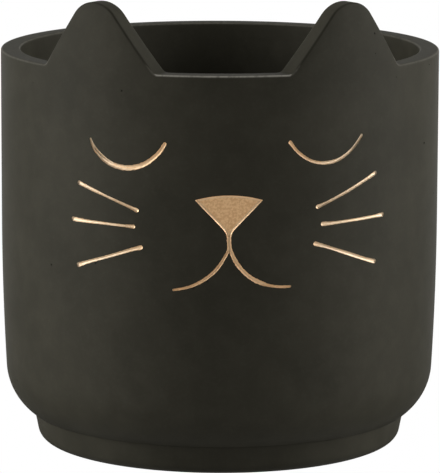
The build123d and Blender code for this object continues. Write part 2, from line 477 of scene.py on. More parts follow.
@dataclass(frozen=True)
class GoldPaintFinish:
    """Gold paint brushed into the engraved lines: warm in the middle, with a painted highlight of cream
    on the lines towards the left and right, standing in for the side lamps' glint.
    """

    name: str = "gold_paint"
    tone: Colour = (0.95, 0.67, 0.40)
    # Painted highlight: cream on the lines far to the left and right, in place of the side lamps' glint
    side_highlight_tone: Colour = (0.76, 0.615, 0.445)
    side_highlight_span: Span = (0.022, 0.045)
    thin_tone: Colour = (0.80, 0.52, 0.28)
    floor_tone: Colour = (1.00, 0.66, 0.35)
    dull_floor_tone: Colour = (0.86, 0.51, 0.25)
    floor_span: Span = (0.0005, 0.0012)
    mottle_size: float = 0.0011
    mottle_span: Span = (0.45, 0.75)
    mottle_share: float = 0.5
    streak_size: float = 0.00035
    streak_span: Span = (0.5, 0.8)
    streak_share: float = 0.3
    speck_size: float = 0.0009
    speck_span: Span = (0.38, 0.62)
    ripple_depth: float = 0.00009
    metal: float = 0.78
    metal_lost: float = 0.12
    roughness: float = 0.50
    thin_roughness: float = 0.08
    varnish: float = 0.4
    varnish_roughness: float = 0.35

    def material(self) -> bpy.types.Material:
        """Builds the material.

        Returns:
            The material. It reads how far each point lies inside the engraved line.
        """
        graph = ShaderGraph(self.name)
        mottle = graph.noise(graph.place, self.mottle_size, 3)
        streak = graph.noise(graph.place, self.streak_size, 2)
        thin = graph.ramp(mottle, self.mottle_span) * self.mottle_share
        thin = thin + graph.ramp(streak, self.streak_span) * self.streak_share
        deep = graph.ramp(graph.attribute("gap"), self.floor_span)
        across = graph.node("ShaderNodeSeparateXYZ", None, {"Vector": graph.place})["X"]
        # Painted highlight, growing with the distance from the face's middle
        side = graph.ramp(graph.maths("ABSOLUTE", across), self.side_highlight_span)
        colour = graph.blend(thin, graph.blend(side, self.tone, self.side_highlight_tone), self.thin_tone)
        specks = graph.ramp(graph.noise(graph.place, self.speck_size, 3), self.speck_span)
        floor = graph.blend(specks, self.dull_floor_tone, self.floor_tone)
        return graph.finish(
            {
                "Base Color": graph.blend(deep, colour, floor),
                "Metallic": self.metal - thin * self.metal_lost,
                "Roughness": self.roughness + thin * self.thin_roughness,
                "Coat Weight": self.varnish * (1 - deep),
                "Coat Roughness": self.varnish_roughness,
                "Normal": graph.relief(mottle * 0.5 + streak * 0.5, self.ripple_depth),
            }
        )


@dataclass(frozen=True)
class RubberFinish:
    """Matt moulded rubber with a fine mould texture and a little dust."""

    name: str = "black_rubber"
    tone: Colour = (0.018, 0.018, 0.018)
    dusty_tone: Colour = (0.045, 0.043, 0.040)
    texture_size: float = 0.0004
    texture_depth: float = 0.00002
    dust_size: float = 0.006
    dust_span: Span = (0.45, 0.8)
    dust_share: float = 0.7
    roughness: float = 0.62
    dust_roughness: float = 0.2

    def material(self) -> bpy.types.Material:
        """Builds the material.

        Returns:
            The material.
        """
        graph = ShaderGraph(self.name)
        texture = graph.noise(graph.place, self.texture_size)
        dust = graph.ramp(graph.noise(graph.place, self.dust_size, 5), self.dust_span)
        return graph.finish(
            {
                "Base Color": graph.blend(dust * self.dust_share, self.tone, self.dusty_tone),
                "Roughness": self.roughness + dust * self.dust_roughness,
                "Normal": graph.relief(texture, self.texture_depth),
            }
        )


@dataclass(frozen=True)
class FeltFinish:
    """Pressed wool felt: tangled fibres in two tones."""

    name: str = "pressed_felt"
    tone: Colour = (0.035, 0.033, 0.030)
    light_tone: Colour = (0.105, 0.100, 0.092)
    fibre_size: float = 0.00045
    fibre_span: Span = (0.0, 0.35)
    fibre_share: float = 0.6
    clump_size: float = 0.0022
    nap_depth: float = 0.00022
    roughness: float = 0.95
    sheen: float = 0.35
    sheen_roughness: float = 0.5

    def material(self) -> bpy.types.Material:
        """Builds the material.

        Returns:
            The material.
        """
        graph = ShaderGraph(self.name)
        clump = {"Vector": graph.place, "Scale": 1 / self.clump_size}
        drift = graph.node("ShaderNodeTexNoise", None, clump)["Color"]
        cells = {"Vector": graph.place + drift * self.clump_size, "Scale": 1 / self.fibre_size}
        fibres = graph.node("ShaderNodeTexVoronoi", {"feature": "DISTANCE_TO_EDGE"}, cells)["Distance"]
        clumps = graph.noise(graph.place, self.clump_size, 4)
        strands = graph.ramp(fibres, self.fibre_span)
        share = strands * self.fibre_share + clumps * (1 - self.fibre_share)
        return graph.finish(
            {
                "Base Color": graph.blend(share, self.tone, self.light_tone),
                "Roughness": self.roughness,
                "Sheen Weight": self.sheen,
                "Sheen Roughness": self.sheen_roughness,
                "Normal": graph.relief(share, self.nap_depth),
            }
        )


# The wall and the face on it


@dataclass(frozen=True)
class Wall:
    """Outer and inner surfaces of the casting, in heights above the ground."""

    radius: float = 90.0 * MM
    ground: float = 1.5 * MM
    rim: float = 164.5 * MM
    thickness: float = 8.0 * MM
    draft_deg: float = 0.8
    ease_top: float = 94.2 * MM
    ease_radius: float = 1190.0 * MM
    corner_radius: float = 24.4 * MM
    corner_end_deg: float = 55.3
    foot_height: float = 12.2 * MM

    def eased(self, height: np.ndarray) -> np.ndarray:
        """Radius of the outer surface at heights on the upright or eased part."""
        below = np.minimum(0.0, height - self.ease_top)
        return self.radius - self.ease_radius + np.sqrt(self.ease_radius**2 - below**2)

    def cavity(self, height: np.ndarray) -> np.ndarray:
        """Radius of the cavity at a height."""
        slope = math.tan(math.radians(self.draft_deg))
        return self.radius - self.thickness - (self.rim - height) * slope


@dataclass(frozen=True)
class FacePlace:
    """Where the face lies on the wall: across runs round the wall and up runs up it."""

    shift: float = 2.4 * MM
    height: float = 102.5 * MM


@dataclass(frozen=True)
class Outline:
    """Closed outline on the unrolled wall, from the nose's lower tip."""

    points: np.ndarray

    @staticmethod
    def of_stroke(
        path: np.ndarray, widths: Sequence[float], waver: float = 0.04, cap_steps: int = 9
    ) -> "Outline":
        """Outline of a brushed line with round ends.

        Args:
            path: Points along the line's middle.
            widths: Widths at even steps along the line.
            waver: Share by which the width wavers.
            cap_steps: Points on each round end.

        Returns:
            The outline, anticlockwise.
        """
        steps = np.r_[0, np.cumsum(np.linalg.norm(np.diff(path, axis=0), axis=1))]
        along = steps / steps[-1]
        half = np.interp(along, np.linspace(0, 1, len(widths)), widths) / 2
        for _ in range(3):
            half[1:-1] = (half[:-2] + 2 * half[1:-1] + half[2:]) / 4
        phase = WAVER_START * path[0].sum() / MM
        slow = np.sin(steps / MM * WAVER_RATES[0] + phase)
        quick = np.sin(steps / MM * WAVER_RATES[1] + 2 * phase)
        half *= 1 + waver * (slow + quick)
        heading = np.gradient(path, axis=0)
        heading /= np.linalg.norm(heading, axis=1)[:, None]
        side = np.c_[-heading[:, 1], heading[:, 0]]
        left = path + side * half[:, None]
        right = path - side * half[:, None]
        turns = np.linspace(0, math.pi, cap_steps + 2)[1:-1]

        def cap(index: int, sense: int) -> np.ndarray:
            """Points of the round end at one end of the line.

            Args:
                index: Place of that end among the line's points.
                sense: One at the line's end, minus one at its start.

            Returns:
                The points.
            """
            start = -side[index] * sense
            ahead = heading[index] * sense
            arc = np.outer(np.cos(turns), start) + np.outer(np.sin(turns), ahead)
            return path[index] + arc * half[index]

        return Outline(np.vstack([right, cap(-1, 1), left[::-1], cap(0, -1)]))

    def gap(self, places: np.ndarray, batch: int = 8000) -> np.ndarray:
        """How far points lie inside the outline, below nought outside it.

        Args:
            places: The points.
            batch: How many points are worked out at once.

        Returns:
            The distance of each to the outline's nearest side.
        """
        start, end = self.points, np.roll(self.points, -1, axis=0)
        side = end - start
        found = []
        for first in range(0, len(places), batch):
            place = places[first : first + batch, None, :]
            away = place - start
            share = np.clip((away * side).sum(-1) / (side**2).sum(-1), 0, 1)
            reach = np.linalg.norm(away - share[..., None] * side, axis=-1).min(1)
            above = (start[:, 1] > place[..., 1]) != (end[:, 1] > place[..., 1])
            rise = np.where(side[:, 1] == 0, 1, side[:, 1])
            crossing = start[:, 0] + (place[..., 1] - start[:, 1]) / rise * side[:, 0]
            inside = (above & (place[..., 0] < crossing)).sum(1) % 2 == 1
            found.append(np.where(inside, reach, -reach))
        return np.concatenate(found)


@dataclass(frozen=True)
class Sheet:
    """Flat triangles that fill outlines to their very edge."""

    points: np.ndarray
    faces: list[tuple[int, ...]]

    @staticmethod
    def of_outlines(
        own: Sequence[Outline], around: Sequence[Outline], cell: float, yields: bool
    ) -> "Sheet":
        """Fills the outlines, whose edges meet those of the outlines around them.

        Args:
            own: Outlines to fill, which may overlap.
            around: Outlines that run on from them.
            cell: Spacing of the points inside.
            yields: Whether what lies in both is left to the outlines around.

        Returns:
            The filled sheet.
        """
        every = (*own, *around)
        corners = np.vstack([outline.points for outline in own])
        low, high = corners.min(0), corners.max(0)
        count = np.ceil((high - low) / cell).astype(int) + 1
        across, up = np.meshgrid(*(low[i] + np.arange(count[i]) * cell for i in (0, 1)))
        grid = np.c_[across.ravel(), up.ravel()]
        gaps = np.array([outline.gap(grid) for outline in every])
        clear = np.abs(gaps).min(0) > CLEARANCE * cell
        grid = grid[clear & (gaps[: len(own)].max(0) > 0)]
        places, rings = [Vector(point / MM) for point in grid], []
        for outline in every:
            rings.append(list(range(len(places), len(places) + len(outline.points))))
            places += [Vector(point / MM) for point in outline.points]
        made = delaunay_2d_cdt(places, [], rings, 1, 1e-5)
        mine = set(range(len(own)))
        left_out = set(range(len(own), len(every))) if yields else set()
        faces = [
            tuple(face)
            for face, sources in zip(made[2], made[5])
            if mine & set(sources) and not left_out & set(sources)
        ]
        used = sorted({index for face in faces for index in face})
        number = {index: place for place, index in enumerate(used)}
        points = np.array([made[0][index] for index in used]) * MM
        return Sheet(points, [tuple(number[index] for index in face) for face in faces])

    def joined(self, other: "Sheet") -> "Sheet":
        """Both sheets as one, with no shared points.

        Args:
            other: The second sheet.

        Returns:
            The new sheet.
        """
        start = len(self.points)
        moved = [tuple(start + index for index in face) for face in other.faces]
        return Sheet(np.vstack([self.points, other.points]), self.faces + moved)

    def mesh(self, name: str) -> bpy.types.Mesh:
        """The sheet as a mesh, level and facing up.

        Args:
            name: Name of the mesh.

        Returns:
            The mesh.
        """
        mesh = bpy.data.meshes.new(name)
        mesh.from_pydata(np.c_[self.points, np.zeros(len(self.points))].tolist(), [], self.faces)
        return mesh


def circle_arc(start: Point, middle: Point, end: Point, step: float) -> np.ndarray:
    """Points along the circle through three points.

    Args:
        start: First point.
        middle: A point on the way.
        end: Last point.
        step: Rough spacing of the points.

    Returns:
        The points from start to end.
    """
    a, b, c = (np.array(point, float) for point in (start, middle, end))
    matrix = 2 * np.array([b - a, c - a])
    centre = np.linalg.solve(matrix, [b @ b - a @ a, c @ c - a @ a])
    radius = np.linalg.norm(a - centre)
    first, mid, last = (math.atan2(*(point - centre)[::-1]) for point in (a, b, c))
    turn = (last - first) % (2 * math.pi)
    if (mid - first) % (2 * math.pi) > turn:
        turn -= 2 * math.pi
    count = max(3, round(abs(turn) * radius / step))
    angles = first + np.linspace(0, turn, count + 1)
    return centre + radius * np.c_[np.cos(angles), np.sin(angles)]


class Part(Enum):
    """Engraved parts of the face, each with the name of the solid that it stands for."""

    LEFT_EYE = "left_eye"
    RIGHT_EYE = "right_eye"
    NOSE = "nose"
    MOUTH = "mouth"
    LEFT_UPPER = "left_whisker_upper"
    LEFT_MIDDLE = "left_whisker_middle"
    LEFT_LOWER = "left_whisker_lower"
    RIGHT_UPPER = "right_whisker_upper"
    RIGHT_MIDDLE = "right_whisker_middle"
    RIGHT_LOWER = "right_whisker_lower"


@dataclass(frozen=True)
class Stroke:
    """A brushed line of one part: its middle, and widths at even steps, in millimetres."""

    part: Part
    points: tuple[Point, ...]
    widths: tuple[float, ...]

    def outline(self, step: float) -> Outline:
        """Outline of the line.

        Args:
            step: Spacing of the points along it, in metres.

        Returns:
            The outline, in metres.
        """
        stops = np.array(self.points) * MM
        stops = np.vstack([2 * stops[0] - stops[1], stops, 2 * stops[-1] - stops[-2]])
        runs = []
        for before, start, end, after in zip(stops, stops[1:], stops[2:], stops[3:]):
            count = max(2, round(np.linalg.norm(end - start) / step))
            share = np.linspace(0, 1, count, endpoint=False)[:, None]
            square, cube = share**2, share**3
            run = (2 * cube - 3 * square + 1) * start + (3 * square - 2 * cube) * end
            run += (cube - 2 * square + share) * (end - before) / 2
            run += (cube - square) * (after - start) / 2
            runs.append(run)
        path = np.vstack([*runs, stops[-2]])
        return Outline.of_stroke(path, [width * MM for width in self.widths])


# Brushed lines of the sleeping face, from the nose's lower tip, across and up
STROKES: tuple[Stroke, ...] = (
    Stroke(
        Part.LEFT_EYE,
        ((-57.8, 34.8), (-56.5, 31.3), (-53.5, 28.2), (-50.0, 26.1), (-46.1, 25.0), (-41.9, 24.5),
         (-37.8, 25.0), (-33.9, 26.4), (-30.6, 28.6), (-27.6, 31.5), (-25.4, 34.8)),
        (1.0, 0.89, 0.94, 1.65, 2.06, 2.12, 2.06, 1.89, 1.71, 1.59, 1.42),
    ),
    Stroke(
        Part.LEFT_EYE,
        ((-57.5, 34.4), (-55.6, 31.6), (-52.7, 29.0), (-49.5, 26.9), (-46.3, 25.7)),
        (0.59, 0.77, 0.83, 0.89, 0.59),
    ),
    Stroke(
        Part.RIGHT_EYE,
        ((24.4, 35.3), (26.7, 32.3), (29.4, 29.9), (32.6, 27.9), (36.3, 26.7), (40.2, 26.4),
         (44.3, 26.9), (48.0, 28.3), (51.4, 30.4), (54.2, 32.9), (56.8, 35.9)),
        (1.42, 1.18, 1.24, 1.12, 1.24, 1.42, 1.36, 1.3, 1.24, 1.18, 1.3),
    ),
    Stroke(
        Part.MOUTH,
        ((0.0, 0.2), (0.05, -2.9), (0.3, -6.8)),
        (1.95, 1.65, 1.6, 1.8),
    ),
    Stroke(
        Part.MOUTH,
        ((0.1, -6.0), (-0.7, -8.0), (-1.7, -9.8), (-3.0, -12.0), (-4.6, -14.2), (-6.5, -16.2),
         (-8.7, -18.0), (-11.1, -19.6), (-13.6, -20.9), (-16.3, -21.9), (-19.1, -22.6), (-21.9, -23.1)),
        (1.01, 1.06, 1.23, 1.29, 1.34, 1.29, 1.29, 1.23, 1.12, 1.06, 0.95, 0.9),
    ),
    Stroke(
        Part.MOUTH,
        ((0.5, -6.0), (1.1, -8.0), (2.1, -10.2), (3.5, -12.6), (5.3, -14.9), (7.5, -17.0), (9.9, -18.7),
         (12.5, -20.0), (15.4, -21.1), (18.4, -21.7), (21.5, -22.0), (24.6, -22.0)),
        (1.23, 1.46, 1.62, 1.62, 1.57, 1.62, 1.74, 1.68, 1.12, 1.06, 1.12, 1.01),
    ),
    Stroke(
        Part.LEFT_UPPER,
        ((-63.5, 16.7), (-58.4, 15.1), (-49.7, 12.3), (-41.4, 9.5), (-37.0, 7.9)),
        (1.72, 1.42, 1.36, 1.0, 1.0, 1.12, 1.18, 1.72),
    ),
    Stroke(
        Part.LEFT_MIDDLE,
        ((-66.7, 1.9), (-61.3, 1.7), (-51.8, 1.6), (-43.0, 1.4), (-38.5, 1.3)),
        (1.91, 1.53, 1.3, 1.18, 1.06, 1.06, 1.0, 1.59),
    ),
    Stroke(
        Part.LEFT_LOWER,
        ((-64.1, -16.3), (-58.7, -14.4), (-49.0, -11.3), (-40.0, -8.2), (-35.3, -6.8)),
        (1.85, 1.36, 1.24, 1.18, 1.24, 1.3, 1.36, 1.78),
    ),
    Stroke(
        Part.RIGHT_UPPER,
        ((36.4, 9.1), (41.1, 10.8), (49.9, 14.2), (59.2, 18.0), (64.3, 20.1)),
        (1.66, 1.12, 1.12, 1.18, 1.24, 1.3, 1.3, 1.78),
    ),
    Stroke(
        Part.RIGHT_MIDDLE,
        ((38.6, 2.1), (43.4, 2.1), (52.7, 2.4), (62.8, 2.7), (68.7, 2.9)),
        (1.85, 1.36, 1.18, 1.06, 1.18, 1.24, 1.18, 1.85),
    ),
    Stroke(
        Part.RIGHT_LOWER,
        ((35.4, -5.6), (40.1, -7.1), (49.1, -10.3), (58.8, -13.8), (64.4, -15.5)),
        (1.78, 1.3, 1.18, 1.42, 1.47, 1.42, 1.42, 1.85),
    ),
)


@dataclass
class GoldFace:
    """The gold paint in every engraved line, and the cutters for the grooves under it."""

    wall: Wall
    place: FacePlace
    material: bpy.types.Material
    strokes: tuple[Stroke, ...] = STROKES
    nose_width: float = 26.8 * MM
    nose_height: float = 12.9 * MM
    nose_arch: float = 2.0 * MM
    nose_web: float = 2.0 * MM
    nose_tail: float = 1.5 * MM
    stem_width: float = 1.8 * MM
    web_steps: int = 9
    side_steps: int = 40
    groove_depth: float = 0.9 * MM
    lip_depth: float = 0.10 * MM
    paint_fall: float = 0.50 * MM
    bank_run: float = 0.6 * MM
    bank_power: float = 1.7
    ridge_height: float = 0.05 * MM
    ridge_pitch: float = 0.22 * MM
    bristle_rate: float = 160.0
    cell: float = 0.12 * MM
    base_cell: float = 1.5 * MM
    step: float = 0.3 * MM
    pieces: dict[str, bpy.types.Object] = field(default_factory=dict)

    def outlines(self) -> dict[Part, list[Outline]]:
        """Outlines of every engraved part.

        Returns:
            For each part, one outline or more.
        """
        found = {Part.NOSE: [self._nose()]}
        for stroke in self.strokes:
            found.setdefault(stroke.part, []).append(stroke.outline(self.step))
        return found

    def _nose(self) -> Outline:
        """The nose: a triangle with an arched top, whose tip runs on into the stem.

        Returns:
            Its outline.
        """
        half = self.nose_width / 2
        left, right = (-half, self.nose_height), (half, self.nose_height)
        top = circle_arc(right, (0, self.nose_height + self.nose_arch), left, self.step)
        stem = self.stem_width / 2
        slope = half / (self.nose_height + stem)
        joint = (-(self.nose_web + stem) * slope, self.nose_web)
        bend = (-stem, stem / slope - stem)
        foot = (-stem, -self.nose_tail)
        shares = np.linspace(0, 1, self.web_steps)[:, None]
        web = (1 - shares) ** 2 * joint + 2 * shares * (1 - shares) * bend + shares**2 * np.array(foot)
        along = np.linspace(0, 1, self.side_steps)[1:-1, None]
        side = left + along * (np.array(joint) - left)
        falling = np.vstack([side, web])
        rising = (falling * (-1, 1))[::-1]
        return Outline(np.vstack([top, falling, rising]))

    def _laid_mesh(
        self, name: str, own: Sequence[Outline], around: Sequence[Outline], yields: bool
    ) -> bpy.types.Mesh:
        """Flat sheets for one part: a fine one for its top and a coarse one for its base.

        Args:
            name: Name of the part.
            own: Outlines that the part fills.
            around: Further outlines, which run on from it.
            yields: Whether what lies in both is left to the outlines around.

        Returns:
            Both sheets, with how far each point lies inside all outlines.
        """
        top = Sheet.of_outlines(own, around, self.cell, yields)
        base = Sheet.of_outlines(own, around, self.base_cell, yields)
        mesh = top.joined(base).mesh(name + "_sheets")
        places = np.vstack([top.points, base.points])
        depths = np.max([outline.gap(places) for outline in (*own, *around)], axis=0)
        mark(mesh, "gap", "POINT", np.maximum(depths, 0).astype(np.float32))
        mark(mesh, "is_base", "FACE", [0.0] * len(top.faces) + [1.0] * len(base.faces))
        return mesh

    def _laying_tree(self) -> GeometryGraph:
        """Builds the tree that lays flat sheets on the wall as a body with a relief on top.

        Returns:
            The tree. Its input "Cutter" is one for the groove's cutter and nought for paint.
        """
        graph = GeometryGraph("lay_on_wall")
        names = ("Lip Depth", "Paint Fall", "Bank Run", "Bank Power", "Ridge Height", "Ridge Pitch")
        lip, fall, run, power, ridge, pitch = map(graph.input, names)
        bottom, cutter, rise = map(graph.input, ("Bottom Depth", "Cutter", "Cutter Rise"))
        material = graph.input("Material", "NodeSocketMaterial")
        position = graph.node("GeometryNodeInputPosition")[0]
        flat = graph.node("ShaderNodeSeparateXYZ", None, {"Vector": position})
        gap = graph.attribute("gap")
        climb = graph.least(gap / run, 1)
        bank = 1 - (1 - climb) ** power
        rate = self.bristle_rate
        bristle = {"X": gap / pitch, "Y": flat["X"] * rate, "Z": flat["Y"] * rate}
        wave = graph.noise(graph.node("ShaderNodeCombineXYZ", None, bristle)["Vector"], 1.0, 1)
        relief = lip + fall * bank + (wave - 0.5) * climb * ridge * 2
        top_depth = relief * (1 - cutter) - rise * cutter

        def wrapped(geometry: Field, depth: Field) -> Field:
            """Moves a flat sheet onto the wall.

            Args:
                geometry: The sheet.
                depth: Depth of each point below the wall's surface.

            Returns:
                The bent sheet.
            """
            across = flat["X"] + self.place.shift
            height = flat["Y"] + self.place.height
            below = graph.least(height - self.wall.ease_top, 0)
            bulge = graph.maths("SQRT", self.wall.ease_radius**2 - below * below)
            radius = bulge + (self.wall.radius - self.wall.ease_radius) - depth
            turn = across / self.wall.radius
            spot = {
                "X": radius * graph.maths("SINE", turn),
                "Y": -(radius * graph.maths("COSINE", turn)),
                "Z": height,
            }
            place = graph.node("ShaderNodeCombineXYZ", None, spot)["Vector"]
            moved = {"Geometry": geometry, "Position": place}
            return graph.node("GeometryNodeSetPosition", None, moved)["Geometry"]

        sheets = graph.node(
            "GeometryNodeSeparateGeometry",
            {"domain": "FACE"},
            {"Geometry": graph.geometry, "Selection": graph.attribute("is_base") > 0.5},
        )
        raised = graph.node(
            "GeometryNodeExtrudeMesh",
            {"mode": "FACES"},
            {"Mesh": sheets["Inverted"], "Offset Scale": 0.0, "Individual": False},
        )
        depths = {"Switch": raised["Top"], "False": bottom, "True": top_depth}
        lifted = graph.node("GeometryNodeSwitch", {"input_type": "FLOAT"}, depths)[0]
        body = wrapped(raised["Mesh"], lifted)
        base = wrapped(sheets["Selection"], bottom)
        base = graph.node("GeometryNodeFlipFaces", None, {"Mesh": base})["Mesh"]
        joined = graph.node("GeometryNodeJoinGeometry", None, {"Geometry": body})
        graph.tree.links.new(base.socket, joined.node.inputs[0])
        merged = {"Geometry": joined["Geometry"], "Distance": 1e-6}
        graph.finish(graph.node("GeometryNodeMergeByDistance", None, merged)["Geometry"], material)
        return graph

    def build(self) -> bpy.types.Mesh:
        """Makes the paint of every part, and one mesh of all groove cutters.

        Returns:
            The cutters, each closed and standing out of the wall.
        """
        sizes = {
            "Lip Depth": self.lip_depth,
            "Paint Fall": self.paint_fall,
            "Bank Run": self.bank_run,
            "Bank Power": self.bank_power,
            "Ridge Height": self.ridge_height,
            "Ridge Pitch": self.ridge_pitch,
            "Bottom Depth": self.groove_depth,
            "Cutter": 0.0,
            "Cutter Rise": self.groove_depth,
            "Material": self.material,
        }
        tree = self._laying_tree()
        found = self.outlines()
        for part, outlines in found.items():
            around = {Part.NOSE: found[Part.MOUTH], Part.MOUTH: found[Part.NOSE]}.get(part, [])
            source = self._laid_mesh(part.value, outlines, around, part is Part.MOUTH)
            mesh = tree.apply(part.value + "_gold", source, sizes)
            self.pieces[part.value] = add_piece(mesh, part.value + "_gold")
            LOG.info("%s: %d faces of paint", part.value, len(mesh.polygons))
        found[Part.MOUTH] += found.pop(Part.NOSE)
        cutters = []
        for part, outlines in found.items():
            sheet = Sheet.of_outlines(outlines, [], self.base_cell, False)
            both = sheet.joined(sheet).mesh(part.value + "_cutter")
            mark(both, "is_base", "FACE", [0.0] * len(sheet.faces) + [1.0] * len(sheet.faces))
            cutters.append(tree.apply(part.value + "_groove", both, {**sizes, "Cutter": 1.0}))
        return joined_meshes("grooves", cutters)

    def dress(self) -> None:
        """Smooths the paint and lets each piece stand for its solid."""
        for name, piece in self.pieces.items():
            smooth(piece.data, 50)
            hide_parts(name + "_inlay")
            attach(piece, "pot")


# The casting


@dataclass
class Casting:
    """The cement casting: foot, wall, floor and both ears, with engraved grooves and pits."""

    wall: Wall
    face: FacePlace
    material: bpy.types.Material
    pit_material: bpy.types.Material
    ear_angle_deg: float = 34.4
    ear_height: float = 27.0 * MM
    ear_base: float = 52.2 * MM
    ear_tip: float = 12.0 * MM
    ear_blend: float = 3.0 * MM
    ear_blend_steps: int = 7
    ear_side_steps: int = 12
    ear_tip_steps: int = 13
    front_steps: int = 14
    back_steps: int = 150
    rounding: float = 0.9 * MM
    rounding_rows: int = 7
    crown_shares: tuple[float, ...] = (0.25, 0.5, 0.75)
    # Share of painted highlight, with a little rubbed wear, on the outer and the inner edge; below
    # nought, painted shade
    rim_wear_and_highlight: Span = (0.25, 0.25)
    front_wear_and_highlight: Span = (1.25, 0.6)
    ear_shade_and_highlight: Span = (-0.35, 0.55)
    front_turn: float = 0.30
    floor: float = 14.0 * MM
    floor_corner: float = 12.0 * MM
    foot_ledge: float = 1.0 * MM
    foot_draft_deg: float = 11.0
    foot_edge: float = 5.0 * MM
    drain_radius: float = 8.0 * MM
    seat_radius: float = 14.3 * MM
    seat_depth: float = 3.0 * MM
    top_band: float = 6.0 * MM
    band_shares: Span = (0.34, 0.67)
    wall_rows: int = 9
    ease_rows: int = 12
    corner_rows: int = 15
    foot_rows: int = 10
    underside_shares: tuple[float, ...] = (0.75, 0.45, 0.25)
    floor_shares: tuple[float, ...] = (0.3, 0.65)
    # Across and up from the nose's lower tip, and radius, in millimetres
    pinholes: tuple[tuple[float, float, float], ...] = (
        (-8.3, -19.3, 0.42), (-55.4, -14.8, 0.42), (63.2, 76.0, 0.36)
    )
    pit_spacing: float = 12.0 * MM
    pit_density: float = 1100.0
    smallest_pit: float = 0.12 * MM
    largest_pit: float = 0.55 * MM
    seed: int = 7
    piece: Optional[bpy.types.Object] = None

    def _ear_line(self) -> np.ndarray:
        """The top line of one ear on the plane that faces it.

        Returns:
            Points across from the ear's middle and up from the ground, from left to right.
        """
        half = self.ear_base / 2
        tip_rise = self.ear_height - self.ear_tip
        lean = math.atan2(tip_rise, half) + math.asin(self.ear_tip / math.hypot(tip_rise, half))
        blend = self.ear_blend * math.tan(lean / 2)
        foot_turns = np.linspace(0, lean, self.ear_blend_steps)
        foot_x = half + blend - self.ear_blend * np.sin(foot_turns)
        foot_z = self.ear_blend * (1 - np.cos(foot_turns))
        tip_turns = np.linspace(lean, 0, self.ear_tip_steps)
        tip_x = self.ear_tip * np.sin(tip_turns)
        tip_z = tip_rise + self.ear_tip * np.cos(tip_turns)
        shares = np.linspace(0, 1, self.ear_side_steps)[1:-1]
        side_x = foot_x[-1] + shares * (tip_x[0] - foot_x[-1])
        side_z = foot_z[-1] + shares * (tip_z[0] - foot_z[-1])
        across = np.r_[foot_x, side_x, tip_x]
        height = np.r_[foot_z, side_z, tip_z]
        right = np.c_[across, height + self.wall.rim]
        left = (right * (-1, 1))[-2::-1]
        return np.vstack([right, left])[::-1]

    def _ring(
        self, radius: Union[float, Callable], drop: float, inset: float, outside: bool
    ) -> np.ndarray:
        """One line of points round the top: along the rim and over both ears.

        Args:
            radius: Radius of the wall there, or a function of height.
            drop: Distance below the top's edge, at right angles to it.
            inset: Distance in from the wall's surface.
            outside: Whether the surface is the outer one.

        Returns:
            The points, anticlockwise from the front seen from above.
        """
        ear = self._ear_line()
        heading = np.gradient(ear, axis=0)
        heading /= np.linalg.norm(heading, axis=1)[:, None]
        place = ear - np.c_[-heading[:, 1], heading[:, 0]] * drop
        across, height = place[:, 0], place[:, 1]
        sense = -1 if outside else 1

        def around(centre_deg: float) -> np.ndarray:
            """The points over the ear at one side of the front.

            Args:
                centre_deg: The ear's bearing from the front.

            Returns:
                The points.
            """
            middle = math.radians(centre_deg)
            reach = radius(height) if callable(radius) else np.full_like(height, radius)
            depth = np.sqrt(reach**2 - across**2) + sense * inset
            x = across * math.cos(middle) + depth * math.sin(middle)
            y = across * math.sin(middle) - depth * math.cos(middle)
            return np.c_[x, y, height]

        right = around(self.ear_angle_deg)
        left = around(-self.ear_angle_deg)

        flat = self.wall.rim - drop
        level = (radius(np.array([flat]))[0] if callable(radius) else radius) + sense * inset

        def plain(start: float, end: float, count: int) -> np.ndarray:
            """Points along the plain rim between two ears, without its ends."""
            return bearing_ring(level, np.linspace(start, end, count + 2)[1:-1], flat)

        front = plain(bearing(left[-1]), bearing(right[0]), self.front_steps)
        back = plain(bearing(right[-1]), bearing(left[0]) + 2 * math.pi, self.back_steps)
        return np.vstack([right, back, left, front])

    def _lower_profile(self) -> list[Point]:
        """Works out the section below the top.

        Returns:
            Radius and height of each ring, from outside under the rim to inside under it.
        """
        wall = self.wall
        corner_end = math.radians(wall.corner_end_deg)
        centre_height = wall.ground + wall.foot_height + wall.corner_radius * math.sin(corner_end)
        gap = wall.ease_radius - wall.corner_radius
        ease = math.asin((wall.ease_top - centre_height) / gap)
        centre = (wall.radius - wall.ease_radius + gap * math.cos(ease), centre_height)

        def arc(middle: Point, reach: float, turns: np.ndarray) -> list[Point]:
            """Points round a centre, at turns up from level."""
            return [(middle[0] + reach * math.cos(t), middle[1] + reach * math.sin(t)) for t in turns]

        band = wall.rim - self.top_band
        profile = [(wall.radius, height) for height in np.linspace(band, wall.ease_top, self.wall_rows)]
        eased = (wall.radius - wall.ease_radius, wall.ease_top)
        profile += arc(eased, wall.ease_radius, -np.linspace(0, ease, self.ease_rows)[1:])
        profile += arc(centre, wall.corner_radius, -np.linspace(ease, corner_end, self.corner_rows)[1:])
        foot_top = profile[-1][0] - self.foot_ledge
        draft = math.radians(self.foot_draft_deg)
        foot_bottom = foot_top - wall.foot_height * math.tan(draft)
        profile.append((foot_top, wall.ground + wall.foot_height))
        turn_in = math.pi / 2 - draft
        tangent = self.foot_edge * math.tan(turn_in / 2)
        centre_x = foot_bottom - tangent
        down = -math.pi / 2
        edge = (centre_x, wall.ground + self.foot_edge)
        profile += arc(edge, self.foot_edge, np.linspace(-draft, down, self.foot_rows))
        profile += [(share * centre_x, wall.ground) for share in self.underside_shares]
        seat = wall.ground + self.floor - self.seat_depth
        top = wall.ground + self.floor
        hole, lip = self.drain_radius, self.seat_radius
        profile += [(hole, wall.ground), (hole, (wall.ground + seat) / 2), (hole, seat)]
        profile += [((hole + lip) / 2, seat), (lip, seat), (lip, top)]
        floor_end = float(wall.cavity(np.array([top]))[0]) - self.floor_corner
        profile += [(lip + share * (floor_end - lip), top) for share in self.floor_shares]
        slope = math.radians(wall.draft_deg)
        corner = (floor_end, top + self.floor_corner)
        profile += arc(corner, self.floor_corner, np.linspace(down, -slope, self.ease_rows))
        first = profile[-1][1]
        for height in np.linspace(first, band, self.wall_rows)[1:]:
            profile.append((float(wall.cavity(np.array([height]))[0]), height))
        return profile

